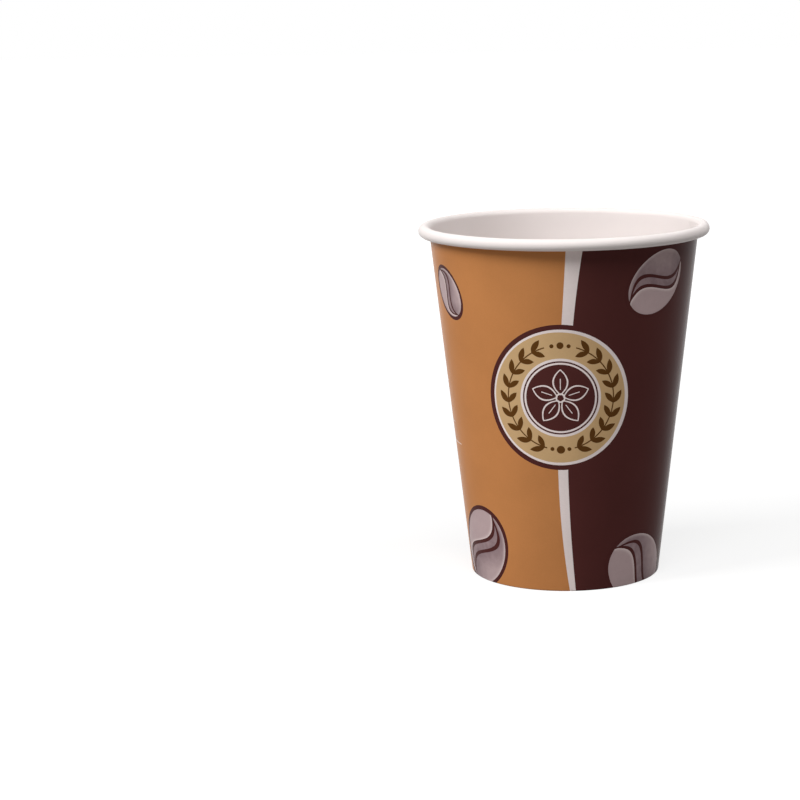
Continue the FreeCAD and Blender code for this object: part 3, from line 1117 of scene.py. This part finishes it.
@dataclass
class Studio:
    """The pale floor, the soft lights and the camera."""

    lamps: tuple[Lamp, ...] = (
        Lamp("key", (-1.10, -0.59, 1.05), 0.64, 18.8),
        Lamp("fill", (-0.06, -0.887, 1.50), 0.80, 11.9),
        Lamp("side", (0.600, -0.106, 1.20), 0.60, 5.6),
    )
    sky: float = 0.10
    floor_tone: tuple[float, float, float, float] = (0.33, 0.325, 0.32, 1.0)
    seen_tone: tuple[float, float, float, float] = (0.30, 0.30, 0.30, 1.0)
    glow_near: float = 0.74
    glow_growth: float = 1.6
    camera_place: tuple[float, float, float] = (0.0, -0.7098, 0.1912)
    camera_turn: tuple[float, float, float] = (4.171, -10.892, -1.089)
    lens: float = 103.19

    @staticmethod
    def seen_rays(w: Wires) -> bpy.types.NodeSocket:
        """1 for what the camera sees, straight or mirrored or through something.

        Args:
            w: the nodes of the floor or the sky.

        Returns:
            The mask.
        """
        path = w.node("ShaderNodeLightPath").outputs
        seen = w.math("MAXIMUM", path["Is Camera Ray"], path["Is Transmission Ray"])
        return w.math("MAXIMUM", seen, path["Is Glossy Ray"])

    def sweep(self) -> None:
        """Lays the floor, which is white to the camera and keeps the cup's shadow."""
        select_none()
        bpy.ops.mesh.primitive_plane_add(size=8.0, location=(0, 0, 0))
        floor = bpy.context.object
        floor.name = "studio_floor"
        made = bpy.data.materials.new("StudioFloor")
        made.use_nodes = True
        w = Wires(made.node_tree)
        made.node_tree.nodes.remove(made.node_tree.nodes["Principled BSDF"])
        plain = w.node("ShaderNodeBsdfDiffuse")
        plain.inputs["Color"].default_value = self.floor_tone
        seen = w.node("ShaderNodeBsdfDiffuse")
        seen.inputs["Color"].default_value = self.seen_tone
        lift = w.node("ShaderNodeEmission")
        away = w.node("ShaderNodeVectorMath", operation="LENGTH")
        w.join(w.node("ShaderNodeTexCoord").outputs["Object"], away.inputs[0])
        far = w.math("MULTIPLY_ADD", away.outputs["Value"], self.glow_growth, -0.20, clamp=True)
        w.join(w.spread(far, self.glow_near, 1.0), lift.inputs["Strength"])
        both = w.node("ShaderNodeAddShader")
        w.join(seen.outputs[0], both.inputs[0])
        w.join(lift.outputs[0], both.inputs[1])
        pick = w.node("ShaderNodeMixShader")
        w.join(self.seen_rays(w), pick.inputs[0])
        w.join(plain.outputs[0], pick.inputs[1])
        w.join(both.outputs[0], pick.inputs[2])
        w.join(pick.outputs[0], made.node_tree.nodes["Material Output"].inputs["Surface"])
        floor.data.materials.append(made)

    def light(self) -> None:
        """Hangs the lamps and sets the sky, which is white where it is seen or mirrored."""
        for lamp in self.lamps:
            lamp.hang()
        world = bpy.data.worlds.new("StudioSky")
        world.use_nodes = True
        bpy.context.scene.world = world
        w = Wires(world.node_tree)
        ground = world.node_tree.nodes["Background"]
        ground.inputs["Color"].default_value = (1.0, 0.985, 0.97, 1.0)
        ground.inputs["Strength"].default_value = self.sky
        bright = w.node("ShaderNodeBackground")
        bright.inputs["Color"].default_value = (1.0, 1.0, 1.0, 1.0)
        bright.inputs["Strength"].default_value = 1.0
        pick = w.node("ShaderNodeMixShader")
        w.join(self.seen_rays(w), pick.inputs[0])
        w.join(ground.outputs[0], pick.inputs[1])
        w.join(bright.outputs[0], pick.inputs[2])
        w.join(pick.outputs[0], world.node_tree.nodes["World Output"].inputs["Surface"])

    def shoot(self) -> None:
        """Sets the camera where the picture was taken from."""
        select_none()
        bpy.ops.object.camera_add(location=self.camera_place)
        camera = bpy.context.object
        camera.name = "picture_camera"
        yaw, pitch, roll = (math.radians(a) for a in self.camera_turn)
        aimed = Matrix.Rotation(yaw, 3, "Z") @ Matrix.Rotation(math.pi / 2 + pitch, 3, "X")
        camera.rotation_euler = (aimed @ Matrix.Rotation(roll, 3, "Z")).to_euler()
        camera.data.sensor_width = 36.0
        camera.data.lens = self.lens
        bpy.context.scene.camera = camera
        bpy.context.scene.view_settings.view_transform = "Standard"


def main() -> None:
    """Builds the cup's pieces in order, then the studio."""
    logging.basicConfig(level=logging.INFO, format="%(name)s: %(message)s")
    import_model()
    sizes = CupSizes()
    materials = {
        Face.PRINT: PRINTED.material(sizes),
        Face.COATED: COATED.material(sizes),
        Face.CUT: CUT.material(sizes),
    }
    for node, slot, maker in (
        ("side_wall", "printed_board", SideWall(sizes)),
        ("bottom_disc", "plain_board", BottomDisc(sizes)),
    ):
        piece = maker.build(materials)
        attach(piece, "root")
        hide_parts(node)
        log.info("%s: %d faces", piece.name, len(piece.data.polygons))
    studio = Studio()
    studio.sweep()
    studio.light()
    studio.shoot()
    select_none()


if __name__ == "__main__":
    main()
